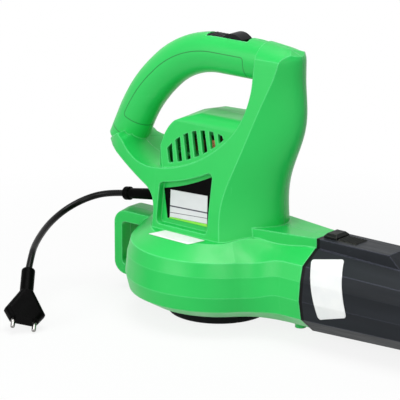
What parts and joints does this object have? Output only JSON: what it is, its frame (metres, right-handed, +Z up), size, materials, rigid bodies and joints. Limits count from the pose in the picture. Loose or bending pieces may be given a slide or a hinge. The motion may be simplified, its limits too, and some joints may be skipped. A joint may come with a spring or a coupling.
{
  "type": "leaf_blower",
  "caption": "Electric hand-held leaf blower with a green scroll housing, looped handle, black two-piece blow tube, slide switch and a short cord with a two-pin plug",
  "frame": {"origin": "on the floor under the fan's axis, at the middle of the intake grille's hub", "axes": "+X runs along the blow tube to its mouth, +Z is up along the fan's axis, +Y completes a right-handed frame"},
  "size_m": [0.8812, 0.2565, 0.2567],
  "materials": {
    "green_plastic": "fine satin moulding",
    "black_plastic": "satin moulding",
    "black_rubber": "soft matt",
    "steel": "turned and zinc plated",
    "laminations": "stamped stack",
    "copper": "enamelled wire and turned copper",
    "brass": "folded sheet",
    "carbon": "pressed graphite",
    "plated_pins": "nickel plated"
  },
  "bodies": {
    "base": {"housing_left": "green_plastic", "housing_right": "green_plastic", "switch_body": "black_plastic", "blow_tube": "black_plastic", "nozzle": "black_plastic", "intake_grille": "black_plastic", "strain_relief": "black_rubber", "cord": "black_rubber", "plug_body": "black_rubber", "housing_screws": "steel", "grille_screws": "steel", "release_pin": "steel", "release_spring": "steel", "lower_bearing": "steel", "upper_bearing": "steel", "stator_core": "laminations", "field_coils": "copper", "brush_holders": "brass", "carbon_brushes": "carbon", "plug_pins": "plated_pins"},
    "rotor": {"motor_shaft": "steel", "impeller": "black_plastic", "fan_washer": "steel", "fan_nut": "steel", "armature_core": "laminations", "armature_windings": "copper", "commutator": "copper"},
    "switch": {"switch_button": "black_plastic"},
    "latch": {"release_button": "black_plastic"}
  },
  "joints": [
    {"name": "fan_spin", "type": "hinge", "parent": "base", "child": "rotor", "pos_m": [0, 0, 0.1], "axis": [0, 0, 1], "continuous": true},
    {"name": "switch_slide", "type": "slide", "parent": "base", "child": "switch", "axis": [1, 0, 0], "range_m": [0, 0.006]},
    {"name": "latch_rock", "type": "hinge", "parent": "base", "child": "latch", "pos_m": [0.1541, 0, 0.0885], "axis": [0, -1, 0], "range_deg": [0, 2.7], "stiffness_Nm_per_rad": 0.6, "deforming": ["release_spring"]}
  ]
}
